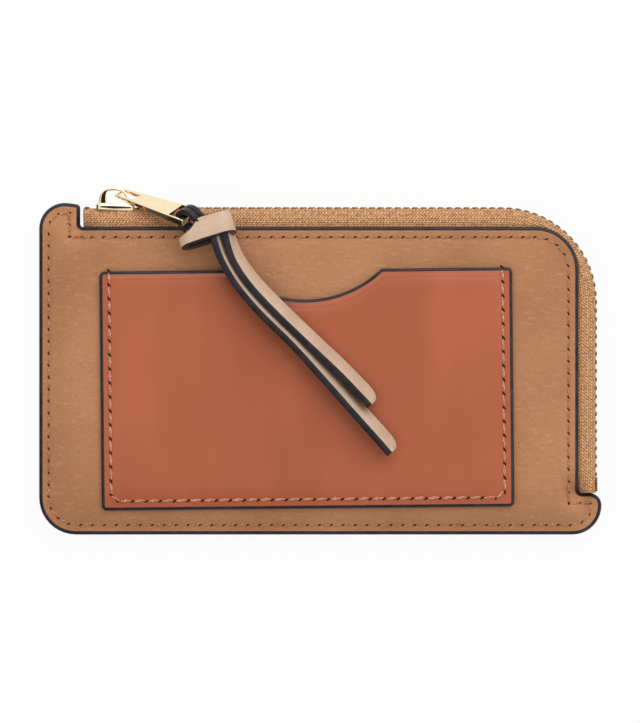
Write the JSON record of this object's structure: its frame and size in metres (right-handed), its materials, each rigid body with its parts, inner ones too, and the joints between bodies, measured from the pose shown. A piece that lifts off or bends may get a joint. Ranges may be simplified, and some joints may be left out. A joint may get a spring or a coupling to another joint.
{
  "type": "zippered pouch",
  "caption": "Flat leather coin and card pouch with an L-shaped zip along its top and side, a card pocket with a thumb notch, and a knotted leather pull strap.",
  "frame": {"origin": "middle of the flat back, on the face that the pouch rests on", "axes": "+X to the right along the front, +Y up towards the zip, +Z out of the front"},
  "size_m": [0.135, 0.0835, 0.0172],
  "materials": {
    "grained_leather": "pebble grain, satin",
    "pocket_leather": "smooth, low sheen",
    "strap_leather": "natural, with dark painted edges",
    "lining_cloth": "plain weave",
    "zip_tape": "herringbone twill",
    "zip_metal": "satin",
    "polished_gold": "mirror polish, pale gold"
  },
  "bodies": {
    "pouch": {"back_panel": "grained_leather", "front_panel": "grained_leather", "back_lining": "lining_cloth", "front_lining": "lining_cloth", "front_pocket": "pocket_leather", "front_tape": "zip_tape", "back_tape": "zip_tape", "front_teeth": "zip_metal", "back_teeth": "zip_metal", "front_top_stop": "zip_metal", "back_top_stop": "zip_metal", "bottom_stop": "zip_metal"},
    "slider": {"slider": "polished_gold"},
    "puller": {"puller": "polished_gold"},
    "strap": {"pull_strap": "strap_leather"}
  },
  "joints": [
    {"name": "slider_travel", "type": "slide", "parent": "pouch", "child": "slider", "axis": [1, 0, 0], "range_m": [0, 0.088], "deforming": ["front_teeth", "back_teeth"]},
    {"name": "puller_swing", "type": "hinge", "parent": "slider", "child": "puller", "pos_m": [-0.048, 0.042, 0.0036], "axis": [-0.5637, -0.4248, 0.7084], "range_deg": [0, 120]},
    {"name": "strap_swing", "type": "hinge", "parent": "puller", "child": "strap", "pos_m": [-0.03151, 0.03606, 0.01316], "axis": [-0.5637, -0.4248, 0.7084], "range_deg": [0, 90]}
  ]
}
